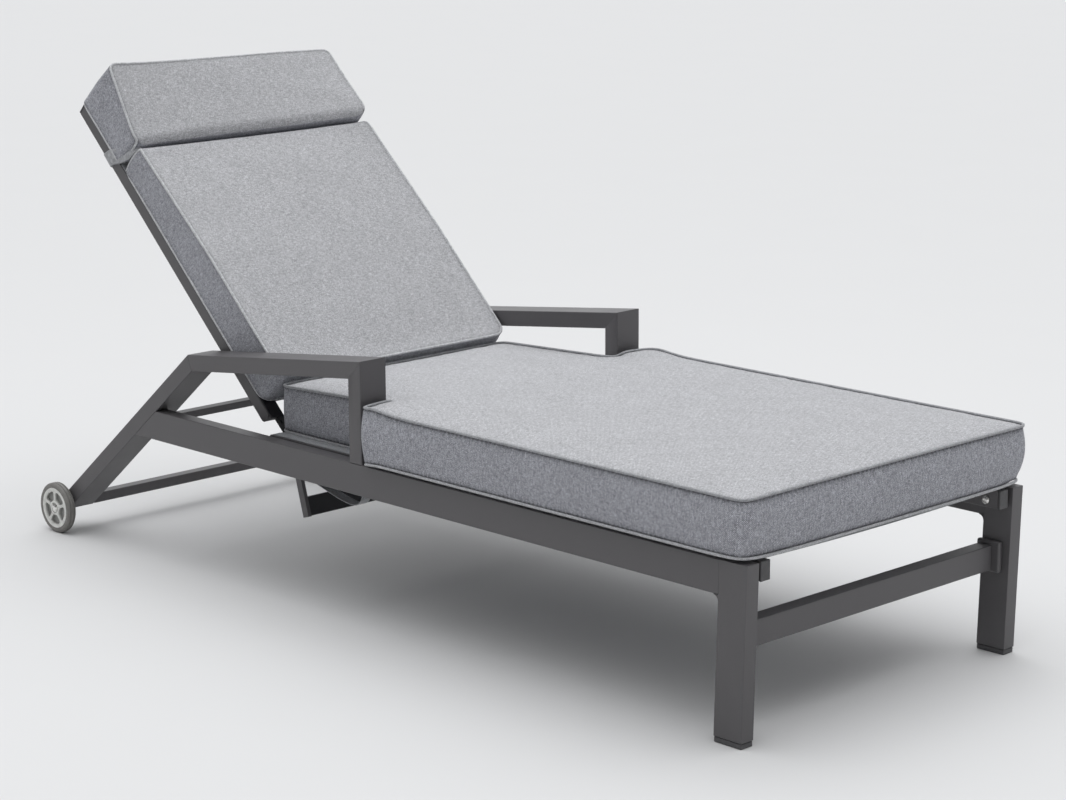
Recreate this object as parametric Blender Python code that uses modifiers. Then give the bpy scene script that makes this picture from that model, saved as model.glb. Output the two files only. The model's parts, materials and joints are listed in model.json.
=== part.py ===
"""Reclining sun lounger with wheels, built in Blender. Metres, +Z up, +X toward the foot end.

The origin is on the floor under the middle of the whole object. Everything hangs on lounger_root,
where x = 0 is the front face of the front legs. Side pieces come in pairs about y = 0: L is the
-Y side and R is the +Y side.
"""
import math

import bmesh
import bpy
from mathutils import Vector

NAME = "sun_lounger"

# ---------------------------------------------------------------- side frames
WIDTH = 0.720            # over the outer faces of the two side frames
TUBE_W = 0.060           # wide face of the frame tube
TUBE_T = 0.029           # thin face of the frame tube
ARM_W = 0.062            # width of the flat tube used for the arms and the rear legs
ARM_T = 0.032            # its thickness
X0 = 0.9625              # front face of the front legs, from the origin
RAIL_TOP = 0.3055        # top of the side rails
RAIL_H = 0.0595
LEG_LEAN = 0.0086        # the foot of the front leg sits this far behind its top
LEG_FILLET = 0.010       # weld fillet between the leg and the underside of the rail
POST_X = -0.9263         # front face of the arm post
POST_T = 0.0345
ARM_FRONT_Z = 0.4958     # top of the arm over the post
ARM_BACK_X = -1.4382     # rear top corner of the arm
ARM_SLOPE = math.radians(6.82)
REAR_SLOPE = math.radians(39.17)   # rear leg, from the horizontal
REAR_LEG_T = 0.0312
REAR_LEG_Z = 0.0490      # underside of the rear leg
CAP_H = 0.0100           # plastic foot under the front leg
TUBE_EDGE = 0.0016       # rounding of the tube edges
SMALL_EDGE = 0.0012      # the same on the thinner tubes
GAP = 0.0003             # between pieces that touch
MITRE = 0.00022          # half of the gap in a welded corner
CAP_INSET = 0.0004       # the plastic foot is this much slimmer than the leg, each way

# ---------------------------------------------------------------- cross members, (x range, z range)
FRONT_BAR = ((-0.0620, -0.0320), (0.1540, 0.1990))
BAR_SOCKET = ((-0.0660, -0.0170), (0.1500, 0.2065))
SOCKET_DEPTH = 0.0120
REAR_LOW_BAR = ((-1.8835, -1.8590), (0.0500, 0.0705))
REAR_HIGH_BAR = ((-1.6490, -1.6260), (0.2555, 0.2700))

# ---------------------------------------------------------------- seat frame
SEAT_RAIL_Y = (0.3000, 0.3230)
SEAT_RAIL_Z = (0.2715, 0.3050)
SEAT_RAIL_FRONT = -0.0090
SEAT_RAIL_REAR = -1.2550
SEAT_CAP_T = 0.0047
SEAT_BAR_Z = (0.2730, 0.2930)
SEAT_BARS = (("seat_crossbar_front", -0.2350), ("seat_crossbar_mid", -0.7350))
SEAT_BAR_W = 0.0250
SEAT_SLING = ((-1.2300, -0.0150), (0.3003, 0.3021))
SEAT_BOLT_X, SEAT_BOLT_Z = -0.0345, 0.2850

# ---------------------------------------------------------------- recline mechanism and backrest
PIVOT_X, PIVOT_Z = -1.2400, 0.2790  # recline axis
PIVOT_R = 0.0070
BORE_R = 0.0073
HOUSING_R = 0.0145
RECLINE = math.radians(44.0)       # backrest above the horizontal
BACK_RAIL_Y = (0.2620, 0.2900)
BACK_RAIL_N = (-0.0170, 0.0090)    # across the backrest, from the recline axis
BACK_RAIL_S = (0.0630, 0.8560)     # along the backrest, from the recline axis
BACK_CAP_T = 0.0040
BACK_BARS = (("back_top_bar", 0.8260), ("back_mid_bar", 0.4480), ("back_low_bar", 0.1480))
BACK_BAR_W = 0.0220
BACK_BAR_N = (-0.0150, 0.0050)
BACK_SLING = (0.1080, 0.8500)      # along the backrest
HINGE_PLATE_Y = (0.2565, 0.2617)
HINGE_NOSE_R = 0.0130
HINGE_SLOT = ((-0.0560, -0.0470), (-0.0045, 0.0005))
HINGE_BOLTS = (0.0800, 0.1180)
YOKE_BEND = math.radians(29.9)     # yoke arms against the line of the backrest
YOKE_LEN = 0.1450
YOKE_ARM_Y = (0.2620, 0.2700)
YOKE_ARM_HALF = 0.0078
YOKE_NOSE_R = 0.0110
YOKE_PLATE_W = 0.0375
YOKE_PLATE_T = 0.0140

# ---------------------------------------------------------------- wheels
WHEEL_X, WHEEL_Z, WHEEL_R = -1.8800, 0.0520, 0.0520
TYRE_Y = (0.3635, 0.3835)
TYRE_BORE_R = 0.0420
RIM_R = 0.0417
SPOKES = 5
WHEEL_POCKET = 0.0075              # depth of the pockets between the spokes, from each face

# ---------------------------------------------------------------- soft parts
SEAT_CUSHION_Z = (0.3066, 0.4120)
SEAT_FRONT, SEAT_STEP, SEAT_REAR = 0.0060, -0.9080, -1.2400   # ends, and where it narrows
SEAT_HALF_WIDE, SEAT_HALF_NARROW = 0.3720, 0.2915
BACK_HALF = 0.2900
PAD_UNDER = 0.0125                 # underside of the back and head cushions, from the recline axis
BACK_PAD = (0.0975, 0.6560, 0.6890, 0.1120)     # foot, head at the front, head behind, front face
HEAD_PAD = (0.6600, 0.6960, 0.8620, 0.8760, 0.1240)
STRAP_T = 0.0016
HEAD_STRAP = (0.7120, 0.7360, 0.0262)           # along the backrest, and how far it wraps forward
TIE_STRAP_Y = (-0.2960, -0.2740)
TIE_STRAP = ((-1.1780, 0.2985), (-1.1740, 0.2690), (-1.1640, 0.2430), (-1.1430, 0.2265),
             (-1.1100, 0.2160), (-1.0650, 0.2050), (-1.0300, 0.2010), (-1.0100, 0.2080),
             (-1.0010, 0.2285), (-0.9980, 0.2655), (-0.9970, 0.2985))

# base colour, metallic value and roughness of each kind of material
COLOURS = {
    "frame": (0.055, 0.056, 0.060, 1.0, 0.5),
    "black_steel": (0.02, 0.02, 0.022, 1.0, 0.45),
    "plastic": (0.03, 0.03, 0.032, 0.0, 0.6),
    "sling": (0.20, 0.21, 0.23, 0.0, 0.8),
    "fabric": (0.26, 0.28, 0.31, 0.0, 0.9),
    "strap": (0.24, 0.26, 0.29, 0.0, 0.9),
    "tyre": (0.16, 0.16, 0.16, 0.0, 0.7),
    "rim": (0.45, 0.46, 0.46, 0.0, 0.5),
    "steel": (0.55, 0.56, 0.56, 1.0, 0.35),
}

SIDES = (("L", -1.0), ("R", 1.0))
OUT = WIDTH / 2
IN = OUT - TUBE_T
ARM_IN = OUT - ARM_W
SEAT_IN = SEAT_RAIL_Y[0] - GAP
BACK_IN = BACK_RAIL_Y[0] - GAP
RAIL_LOW = RAIL_TOP - RAIL_H


# ---------------------------------------------------------------- helpers
def clear_scene():
    for obj in list(bpy.data.objects):
        bpy.data.objects.remove(obj, do_unlink=True)
    for mesh in list(bpy.data.meshes):
        bpy.data.meshes.remove(mesh)


def collection(name):
    coll = bpy.data.collections.new(name)
    bpy.context.scene.collection.children.link(coll)
    return coll


def material(part, kind):
    r, g, b, metal, rough = COLOURS[kind]
    mat = bpy.data.materials.new("mat_" + part)
    mat.use_nodes = True
    shader = mat.node_tree.nodes["Principled BSDF"]
    shader.inputs["Base Color"].default_value = (r, g, b, 1.0)
    shader.inputs["Metallic"].default_value = metal
    shader.inputs["Roughness"].default_value = rough
    return mat


def empty(name, location, rotation_y, parent):
    obj = bpy.data.objects.new(name, None)
    PARTS.objects.link(obj)
    obj.location = location
    obj.rotation_euler = (0.0, rotation_y, 0.0)
    obj.parent = parent
    return obj


def place(name, mesh, location, rotation, kind, parent):
    """Adds a mesh as a sub-part, or as a cutter where it has no kind of material."""
    obj = bpy.data.objects.new(name, mesh)
    obj.location = location
    obj.rotation_euler = rotation
    obj.parent = parent
    if kind:
        PARTS.objects.link(obj)
        mesh.materials.append(material(name, kind))
    else:
        CUTTERS.objects.link(obj)
        obj.hide_render = True
        obj.display_type = "WIRE"
    return obj


def soften(obj, width, segments=1):
    mod = obj.modifiers.new("edge", "BEVEL")
    mod.width = width
    mod.segments = segments
    mod.limit_method = "ANGLE"
    mod.angle_limit = math.radians(40)


def weld_ends(mesh, ends):
    """Weights the edges to be rounded: every sharp one, but not those round a welded end."""
    bm = bmesh.new()
    bm.from_mesh(mesh)
    weight = bm.edges.layers.float.new("bevel_weight_edge")
    for edge in bm.edges:
        welded = any(all(min((v.co.xy - Vector(p)).length for p in end) < 1e-5
                         for v in edge.verts) for end in ends)
        sharp = edge.calc_face_angle() > math.radians(40)
        edge[weight] = 1.0 if sharp and not welded else 0.0
    bm.to_mesh(mesh)
    bm.free()


def cut(target, cutter):
    mod = target.modifiers.new("cut", "BOOLEAN")
    mod.operation = "DIFFERENCE"
    mod.solver = "EXACT"
    mod.object = cutter


def flat_mesh(name, outlines, depth):
    """Filled flat curves, extruded to a depth and welded into closed bodies."""
    curve = bpy.data.curves.new(name, "CURVE")
    curve.dimensions = "2D"
    curve.fill_mode = "BOTH"
    curve.extrude = depth / 2
    for outline in outlines:
        spline = curve.splines.new("POLY")
        spline.points.add(len(outline) - 1)
        for point, (u, v) in zip(spline.points, outline):
            point.co = (u, v, 0.0, 1.0)
        spline.use_cyclic_u = True
    guide = bpy.data.objects.new(name + "_outline", curve)
    CUTTERS.objects.link(guide)
    depsgraph = bpy.context.evaluated_depsgraph_get()
    mesh = bpy.data.meshes.new_from_object(guide.evaluated_get(depsgraph))
    bpy.data.objects.remove(guide)
    mesh.name = name
    mesh.materials.clear()
    bm = bmesh.new()
    bm.from_mesh(mesh)
    bmesh.ops.remove_doubles(bm, verts=bm.verts, dist=1e-6)
    bmesh.ops.dissolve_limit(bm, angle_limit=math.radians(0.1), verts=bm.verts, edges=bm.edges)
    bmesh.ops.recalc_face_normals(bm, faces=bm.faces)
    bm.to_mesh(mesh)
    bm.free()
    return mesh


def middle(outline):
    us = [u for u, _ in outline]
    vs = [v for _, v in outline]
    return (min(us) + max(us)) / 2, (min(vs) + max(vs)) / 2


def prism(name, outline, y_range, kind, parent, edge=0.0, segments=1, welds=()):
    """A flat outline in x and z, carried through y_range.

    welds are pairs of corners: the end between them is welded flush, so it isn't rounded.
    """
    cx, cz = middle(outline)
    centred = [(x - cx, z - cz) for x, z in outline]
    mesh = flat_mesh(name, [centred], abs(y_range[1] - y_range[0]))
    obj = place(name, mesh, (cx, sum(y_range) / 2, cz), (math.pi / 2, 0.0, 0.0), kind, parent)
    if edge:
        soften(obj, edge, segments)
    if welds:
        weld_ends(mesh, [[(x - cx, z - cz) for x, z in pair] for pair in welds])
        obj.modifiers["edge"].limit_method = "WEIGHT"
    return obj


def box(name, x_range, y_range, z_range, kind, parent, edge=0.0, segments=1):
    """A rectangular block between two planes each way."""
    ranges = (x_range, y_range, z_range)
    mesh = bpy.data.meshes.new(name)
    bm = bmesh.new()
    bmesh.ops.create_cube(bm, size=1.0)
    bmesh.ops.scale(bm, vec=[abs(b - a) for a, b in ranges], verts=bm.verts)
    bm.to_mesh(mesh)
    bm.free()
    obj = place(name, mesh, [(a + b) / 2 for a, b in ranges], (0.0, 0.0, 0.0), kind, parent)
    if edge:
        soften(obj, edge, segments)
    return obj


def turned(name, profile, side, centre, kind, parent, steps):
    """Points (radius, distance from the middle plane) turned about an axis along y.

    A profile that starts on the axis is open there, and any other closes into a ring.
    """
    ring = profile[0][0] > 0.0
    points = [(radius, side * y) for radius, y in profile]
    turn = sum(a[0] * b[1] - b[0] * a[1] for a, b in zip(points, points[1:] + points[:1]))
    if turn > 0.0:
        points.reverse()
    mesh = bpy.data.meshes.new(name)
    bm = bmesh.new()
    verts = [bm.verts.new((radius, 0.0, y)) for radius, y in points]
    for a, b in zip(verts, verts[1:] + (verts[:1] if ring else [])):
        bm.edges.new((a, b))
    bm.to_mesh(mesh)
    bm.free()
    obj = place(name, mesh, centre, (-math.pi / 2, 0.0, 0.0), kind, parent)
    screw = obj.modifiers.new("turn", "SCREW")
    screw.axis = "Z"
    screw.angle = 2 * math.pi
    screw.steps = screw.render_steps = steps
    screw.use_merge_vertices = True
    screw.merge_threshold = 0.00001
    screw.use_smooth_shade = True
    return obj


def round_corner(outline, index, radius, steps=4):
    """Replaces one corner of an outline by an arc."""
    corner, before = outline[index], outline[index - 1]
    after = outline[(index + 1) % len(outline)]
    to_before = (before[0] - corner[0], before[1] - corner[1])
    to_after = (after[0] - corner[0], after[1] - corner[1])
    la, lb = math.hypot(*to_before), math.hypot(*to_after)
    ua = (to_before[0] / la, to_before[1] / la)
    ub = (to_after[0] / lb, to_after[1] / lb)
    half = math.acos(max(-1.0, min(1.0, ua[0] * ub[0] + ua[1] * ub[1]))) / 2
    reach = radius / math.tan(half)
    bisector = (ua[0] + ub[0], ua[1] + ub[1])
    out = radius / math.sin(half) / math.hypot(*bisector)
    centre = (corner[0] + bisector[0] * out, corner[1] + bisector[1] * out)
    start = (corner[0] + ua[0] * reach, corner[1] + ua[1] * reach)
    end = (corner[0] + ub[0] * reach, corner[1] + ub[1] * reach)
    a0 = math.atan2(start[1] - centre[1], start[0] - centre[0])
    a1 = math.atan2(end[1] - centre[1], end[0] - centre[0])
    sweep = (a1 - a0 + math.pi) % (2 * math.pi) - math.pi
    arc = [(centre[0] + radius * math.cos(a0 + sweep * i / steps),
            centre[1] + radius * math.sin(a0 + sweep * i / steps)) for i in range(steps + 1)]
    return outline[:index] + arc + outline[index + 1:]


def half_round(radius, turn, steps=8):
    """Half a circle about the origin, from +z round to -z."""
    return [(turn * radius * math.sin(math.pi * i / steps), radius * math.cos(math.pi * i / steps))
            for i in range(steps + 1)]


def span(side, near_far):
    """The range of y on one side, from the distances to the middle plane."""
    return tuple(side * y for y in near_far)


# ---------------------------------------------------------------- lines of the side frame
def arm_top(x):
    return ARM_FRONT_Z + (x - POST_X) * math.tan(ARM_SLOPE)


def arm_under(x):
    return arm_top(x) - ARM_T / math.cos(ARM_SLOPE)


def leg_rear_x(z):
    return ARM_BACK_X - (arm_top(ARM_BACK_X) - z) / math.tan(REAR_SLOPE)


def leg_front_x(z):
    return leg_rear_x(z) + REAR_LEG_T / math.sin(REAR_SLOPE)


def inner_corner():
    """Where the front line of the rear leg meets the underside of the arm."""
    leg, arm = math.tan(REAR_SLOPE), math.tan(ARM_SLOPE)
    z_leg = RAIL_TOP - leg * leg_front_x(RAIL_TOP)
    z_arm = arm_under(0.0)
    x = (z_arm - z_leg) / (leg - arm)
    return x, arm_under(x)


# ---------------------------------------------------------------- side frames
def front_leg(tag, side):
    """An upright with a small fillet up under the rail, and its plastic foot."""
    y = span(side, (IN, OUT))
    lean = LEG_LEAN / RAIL_TOP
    foot = CAP_H + GAP
    behind = -TUBE_W - lean * RAIL_H
    seam = RAIL_LOW + 2 * GAP
    fillet = [(behind - LEG_FILLET + LEG_FILLET * math.sin(math.pi / 8 * i),
               RAIL_LOW - LEG_FILLET + LEG_FILLET * math.cos(math.pi / 8 * i)) for i in range(5)]
    outline = [(lean * foot - LEG_LEAN, foot), (0.0, RAIL_TOP), (-TUBE_W, RAIL_TOP),
               (-TUBE_W, seam), (behind - LEG_FILLET, seam)]
    outline += fillet
    outline.append((lean * foot - LEG_LEAN - TUBE_W, foot))
    prism("front_leg_" + tag, outline, y, "frame", ROOT, TUBE_EDGE,
          welds=[outline[2:4], outline[3:5]])
    box("front_foot_" + tag, (-LEG_LEAN - TUBE_W + CAP_INSET, -LEG_LEAN - CAP_INSET),
        span(side, (IN + CAP_INSET, OUT - CAP_INSET)), (0.0, CAP_H), "plastic", ROOT, TUBE_EDGE)


def side_rail(tag, side):
    """Butts against the front leg and the sloping rear leg."""
    low = RAIL_LOW + 3 * GAP
    lead = 1.6 * GAP
    outline = [(-TUBE_W - GAP, RAIL_TOP), (-TUBE_W - GAP, low), (leg_front_x(low) + lead, low),
               (leg_front_x(RAIL_TOP) + lead, RAIL_TOP)]
    prism("side_rail_" + tag, outline, span(side, (IN, OUT)), "frame", ROOT, TUBE_EDGE,
          welds=[outline[:2], outline[2:]])


def arm_and_rear_leg(tag, side):
    """The post, the arm and the rear leg, with a mitre at each corner."""
    y = span(side, (ARM_IN, OUT))
    behind = POST_X - POST_T
    inner, outer = inner_corner(), (ARM_BACK_X, arm_top(ARM_BACK_X))
    post = [(behind, RAIL_TOP + GAP), (POST_X, RAIL_TOP + GAP), (POST_X, ARM_FRONT_Z - MITRE),
            (behind, arm_under(behind) - MITRE)]
    prism("arm_post_" + tag, post, y, "frame", ROOT, TUBE_EDGE, welds=[post[:2], post[2:]])
    arm = [(POST_X - MITRE, ARM_FRONT_Z), (behind, arm_under(behind) + MITRE),
           (inner[0] + 1.5 * MITRE, inner[1] + MITRE), (outer[0] + MITRE, outer[1])]
    prism("armrest_" + tag, arm, y, "frame", ROOT, TUBE_EDGE, welds=[arm[:2], arm[2:]])
    leg = [(inner[0] - GAP, inner[1] - GAP), (outer[0] - MITRE, outer[1] - MITRE),
           (leg_rear_x(REAR_LEG_Z), REAR_LEG_Z), (leg_front_x(REAR_LEG_Z), REAR_LEG_Z)]
    prism("rear_leg_" + tag, leg, y, "frame", ROOT, TUBE_EDGE, welds=[leg[:2]])


def cross_members():
    reach = IN - SOCKET_DEPTH - GAP
    box("front_crossbar", FRONT_BAR[0], (-reach, reach), FRONT_BAR[1], "frame", ROOT, TUBE_EDGE)
    for tag, side in SIDES:
        box("crossbar_socket_" + tag, BAR_SOCKET[0], span(side, (IN - SOCKET_DEPTH, IN - GAP)),
            BAR_SOCKET[1], "frame", ROOT, 0.0040, 2)
    reach = ARM_IN - GAP
    for name, bar in (("rear_lower_crossbar", REAR_LOW_BAR), ("rear_upper_crossbar", REAR_HIGH_BAR)):
        box(name, bar[0], (-reach, reach), bar[1], "frame", ROOT, SMALL_EDGE)


# ---------------------------------------------------------------- seat frame
def seat_rail(tag, side):
    """The rail with its end cap, and the head of the bolt that holds it to the front leg."""
    y = span(side, SEAT_RAIL_Y)
    low, high = SEAT_RAIL_Z
    outline = [(SEAT_RAIL_FRONT, low), (SEAT_RAIL_FRONT, high), (SEAT_RAIL_REAR + 0.0200, high),
               (SEAT_RAIL_REAR, high - 0.0180), (SEAT_RAIL_REAR, low)]
    prism("seat_rail_" + tag, round_corner(outline, 4, 0.010, 3), y, "frame", ROOT, SMALL_EDGE)
    cap = (SEAT_RAIL_FRONT + GAP, SEAT_RAIL_FRONT + GAP + SEAT_CAP_T)
    box("seat_rail_cap_" + tag, cap, y, SEAT_RAIL_Z, "plastic", ROOT, SMALL_EDGE)
    face = SEAT_IN
    head = [(0.0, face), (0.0078, face), (0.0078, face - 0.0017), (0.0050, face - 0.0039),
            (0.0, face - 0.0043)]
    turned("seat_bolt_" + tag, head, side, (SEAT_BOLT_X, 0.0, SEAT_BOLT_Z), "steel", ROOT, 20)


def seat_frame():
    for tag, side in SIDES:
        seat_rail(tag, side)
    across = (-SEAT_IN, SEAT_IN)
    for name, x in SEAT_BARS:
        box(name, (x, x + SEAT_BAR_W), across, SEAT_BAR_Z, "frame", ROOT, SMALL_EDGE)
    box("seat_sling", SEAT_SLING[0], across, SEAT_SLING[1], "sling", ROOT)


# ---------------------------------------------------------------- recline mechanism
def pivot():
    """The tube that closes the rear of the seat frame, and the two hinge housings on it."""
    tube = [(0.0, -SEAT_IN), (PIVOT_R, -SEAT_IN), (PIVOT_R, SEAT_IN), (0.0, SEAT_IN)]
    turned("pivot_tube", tube, 1.0, (PIVOT_X, 0.0, PIVOT_Z), "black_steel", ROOT, 24)
    near, far = YOKE_ARM_Y[1] + 0.0005, SEAT_IN
    housing = [(BORE_R, near), (HOUSING_R - 0.001, near), (HOUSING_R, near + 0.001),
               (HOUSING_R, far - 0.001), (HOUSING_R - 0.001, far), (BORE_R, far)]
    for tag, side in SIDES:
        turned("hinge_housing_" + tag, housing, side, (PIVOT_X, 0.0, PIVOT_Z), "black_steel",
               ROOT, 24)


def bore(name, side, near_far, parent):
    """A cutter the size of the pivot's running clearance."""
    near, far = near_far
    hole = [(0.0, near), (BORE_R, near), (BORE_R, far), (0.0, far)]
    return turned(name, hole, side, (0.0, 0.0, 0.0), None, parent, 24)


def hinge_plate(tag, side):
    """Rounded round the pivot, slotted, and bolted to the inner side of the back tube."""
    y = span(side, HINGE_PLATE_Y)
    outline = half_round(HINGE_NOSE_R, 1.0)
    outline += [(-0.0200, -0.0135), (-0.1330, -0.0165), (-0.1360, -0.0135), (-0.1360, 0.0060),
                (-0.1330, 0.0085), (-0.0600, 0.0085), (-0.0200, 0.0125)]
    plate = prism("hinge_plate_" + tag, outline, y, "black_steel", BACK)
    cut(plate, bore("hinge_bore_" + tag, side, (0.2500, 0.2680), BACK))
    slot = box("hinge_slot_" + tag, HINGE_SLOT[0], span(side, (0.2525, 0.2657)), HINGE_SLOT[1],
               None, BACK)
    cut(plate, slot)
    face = HINGE_PLATE_Y[0] - GAP
    head = [(0.0, face), (0.0060, face), (0.0060, face - 0.0017), (0.0036, face - 0.0035),
            (0.0, face - 0.0038)]
    for number, along in enumerate(HINGE_BOLTS, 1):
        turned("hinge_bolt_%d_%s" % (number, tag), head, side, (-along, 0.0, -0.0040),
               "black_steel", BACK, 16)


def yoke():
    """Two arms under the seat and the plate that joins them."""
    for tag, side in SIDES:
        outline = half_round(YOKE_NOSE_R, -1.0)
        outline += [(0.0200, -YOKE_ARM_HALF), (YOKE_LEN, -YOKE_ARM_HALF),
                    (YOKE_LEN, YOKE_ARM_HALF), (0.0200, YOKE_ARM_HALF)]
        arm = prism("yoke_arm_" + tag, outline, span(side, YOKE_ARM_Y), "frame", YOKE)
        cut(arm, bore("yoke_bore_" + tag, side, (0.2550, 0.2760), YOKE))
    end = YOKE_LEN - 0.0010
    reach = YOKE_ARM_Y[0] - GAP
    box("yoke_plate", (end - YOKE_PLATE_W, end), (-reach, reach),
        (-YOKE_PLATE_T / 2, YOKE_PLATE_T / 2), "black_steel", YOKE, 0.0014)


# ---------------------------------------------------------------- backrest
def backrest():
    """Side tubes with caps, three bars between them, and the sling in front."""
    foot, head = BACK_RAIL_S
    under, front = BACK_RAIL_N
    for tag, side in SIDES:
        y = span(side, BACK_RAIL_Y)
        end = -head + BACK_CAP_T + GAP
        tube = [(end, under), (end, front), (-foot, front), (-foot, under)]
        tube = round_corner(round_corner(tube, 3, 0.007, 2), 2, 0.007, 2)
        prism("back_rail_" + tag, tube, y, "frame", BACK, SMALL_EDGE)
        box("back_rail_cap_" + tag, (-head, -head + BACK_CAP_T), y, BACK_RAIL_N, "plastic", BACK,
            SMALL_EDGE)
        hinge_plate(tag, side)
    for name, along in BACK_BARS:
        box(name, (-along - BACK_BAR_W, -along), (-BACK_IN, BACK_IN), BACK_BAR_N, "frame", BACK,
            SMALL_EDGE)
    box("back_sling", (-BACK_SLING[1], -BACK_SLING[0]), (-0.2800, 0.2800),
        (front + GAP, front + 0.0021), "sling", BACK)


# ---------------------------------------------------------------- wheels
def wheel_pockets(tag, near, far):
    """One cutter with a wedge between each pair of spokes."""
    wedges = []
    for k in range(SPOKES):
        middle_angle = math.pi / 2 + 2 * math.pi / SPOKES * (k + 0.5)
        sides = ((0.0160, 0.36), (0.0178, 0.46), (0.0300, 0.53), (0.0325, 0.49))
        rim = ((0.0343, 0.36), (0.0346, 0.0), (0.0343, -0.36))
        corners = sides + rim + tuple((radius, -half) for radius, half in reversed(sides))
        wedges.append([(radius * math.cos(middle_angle + half),
                        radius * math.sin(middle_angle + half)) for radius, half in corners])
    mesh = flat_mesh("wheel_pockets_" + tag, wedges, abs(far - near))
    return place("wheel_pockets_" + tag, mesh, (WHEEL_X, (near + far) / 2, WHEEL_Z),
                 (math.pi / 2, 0.0, 0.0), None, ROOT)


def wheel(tag, side):
    """Grooved tyre, spoked rim, the boss on the leg and the axle bolt."""
    near, far = TYRE_Y
    centre = (WHEEL_X, 0.0, WHEEL_Z)
    shoulder = [(TYRE_BORE_R, 0.0010), (0.0470, 0.0), (WHEEL_R - 0.0030, 0.0004),
                (WHEEL_R - 0.0004, 0.0030), (WHEEL_R, 0.0046), (WHEEL_R - 0.0020, 0.0056),
                (WHEEL_R - 0.0020, 0.0064), (WHEEL_R, 0.0074)]
    tyre = [(radius, near + inset) for radius, inset in shoulder]
    tyre += [(radius, far - inset) for radius, inset in reversed(shoulder)]
    turned("wheel_tyre_" + tag, tyre, side, centre, "tyre", ROOT, 40)
    face = [(0.0053, 0.0030), (0.0105, 0.0030), (0.0112, 0.0008), (0.0140, 0.0008),
            (0.0150, 0.0016), (0.0355, 0.0016), (0.0365, 0.0008), (RIM_R, 0.0008)]
    rim = [(radius, near + inset) for radius, inset in face]
    rim += [(radius, far - inset) for radius, inset in reversed(face)]
    hub = turned("wheel_rim_" + tag, rim, side, centre, "rim", ROOT, 40)
    for where, edge in (("inside", near), ("outside", far)):
        depth = (edge - WHEEL_POCKET, edge + WHEEL_POCKET)
        cut(hub, wheel_pockets(where + "_" + tag, *span(side, depth)))
    inner = near - MITRE
    boss = [(0.0, OUT + GAP), (0.0130, OUT + GAP), (0.0115, inner), (0.0, inner)]
    turned("axle_boss_" + tag, boss, side, centre, "black_steel", ROOT, 24)
    seat = far - 0.0027
    bolt = [(0.0, near - 0.0001), (0.0050, near - 0.0001), (0.0050, seat), (0.0085, seat),
            (0.0085, seat + 0.0019), (0.0055, seat + 0.0033), (0.0, seat + 0.0035)]
    turned("axle_bolt_" + tag, bolt, side, centre, "steel", ROOT, 24)


# ---------------------------------------------------------------- cushions and straps
def seat_cushion():
    """Wide from the foot end to the arm posts, then narrow enough to lie between the arms."""
    outline = [(SEAT_FRONT, -SEAT_HALF_WIDE), (SEAT_FRONT, SEAT_HALF_WIDE),
               (SEAT_STEP, SEAT_HALF_WIDE), (SEAT_STEP, SEAT_HALF_NARROW),
               (SEAT_REAR, SEAT_HALF_NARROW), (SEAT_REAR, -SEAT_HALF_NARROW),
               (SEAT_STEP, -SEAT_HALF_NARROW), (SEAT_STEP, -SEAT_HALF_WIDE)]
    for index in (7, 5, 4, 2, 1, 0):
        outline = round_corner(outline, index, 0.030 if index in (0, 1) else 0.016)
    low, high = SEAT_CUSHION_Z
    cx, cy = middle(outline)
    mesh = flat_mesh("seat_cushion", [[(x - cx, y - cy) for x, y in outline]], high - low)
    obj = place("seat_cushion", mesh, (cx, cy, (low + high) / 2), (0.0, 0.0, 0.0), "fabric", ROOT)
    soften(obj, 0.011, 2)


def back_cushions():
    foot, head_front, head_behind, face = BACK_PAD
    lower = [(-foot, PAD_UNDER), (-foot, face), (-head_front, face), (-head_behind, PAD_UNDER)]
    prism("back_cushion", lower, (-BACK_HALF, BACK_HALF), "fabric", BACK, 0.014, 2)
    foot_front, foot_behind, top_front, top, face = HEAD_PAD
    upper = [(-foot_behind, PAD_UNDER), (-foot_front, face), (-top_front, face), (-top, 0.0900),
             (-top, PAD_UNDER)]
    prism("head_cushion", upper, (-BACK_HALF, BACK_HALF), "fabric", BACK, 0.017, 2)


def head_strap():
    """A band across the back of the frame and round both side tubes, seen from the head end."""
    start, end, wrap = HEAD_STRAP
    skin = BACK_RAIL_N[0] - GAP
    edge = BACK_RAIL_Y[1] + GAP
    front = skin + wrap + GAP
    half = [(edge, skin), (edge, front), (edge + STRAP_T, front),
            (edge + STRAP_T, skin - STRAP_T)]
    outline = half + [(-y, z) for y, z in reversed(half)]
    cy, cz = middle(outline)
    mesh = flat_mesh("head_strap", [[(y - cy, z - cz) for y, z in outline]], end - start)
    place("head_strap", mesh, (-(start + end) / 2, cy, cz), (math.pi / 2, 0.0, math.pi / 2),
          "strap", BACK)


def seat_tie_strap():
    """A slack loop hanging under the sling, drawn as one line and given its thickness."""
    line = list(TIE_STRAP)
    inner = []
    for i, (x, z) in enumerate(line):
        before, after = line[max(i - 1, 0)], line[min(i + 1, len(line) - 1)]
        dx, dz = after[0] - before[0], after[1] - before[1]
        length = math.hypot(dx, dz)
        inner.append((x - dz / length * STRAP_T, z + dx / length * STRAP_T))
    prism("seat_tie_strap", line + inner[::-1], TIE_STRAP_Y, "strap", ROOT)


clear_scene()
PARTS = collection(NAME)
CUTTERS = collection("cutters")
ROOT = empty("lounger_root", (X0, 0.0, 0.0), 0.0, None)
# On the recline axis x runs down the backrest and z stands out of its front.
BACK = empty("recline_axis", (PIVOT_X, 0.0, PIVOT_Z), RECLINE, ROOT)
YOKE = empty("yoke_axis", (0.0, 0.0, 0.0), YOKE_BEND, BACK)

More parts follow.
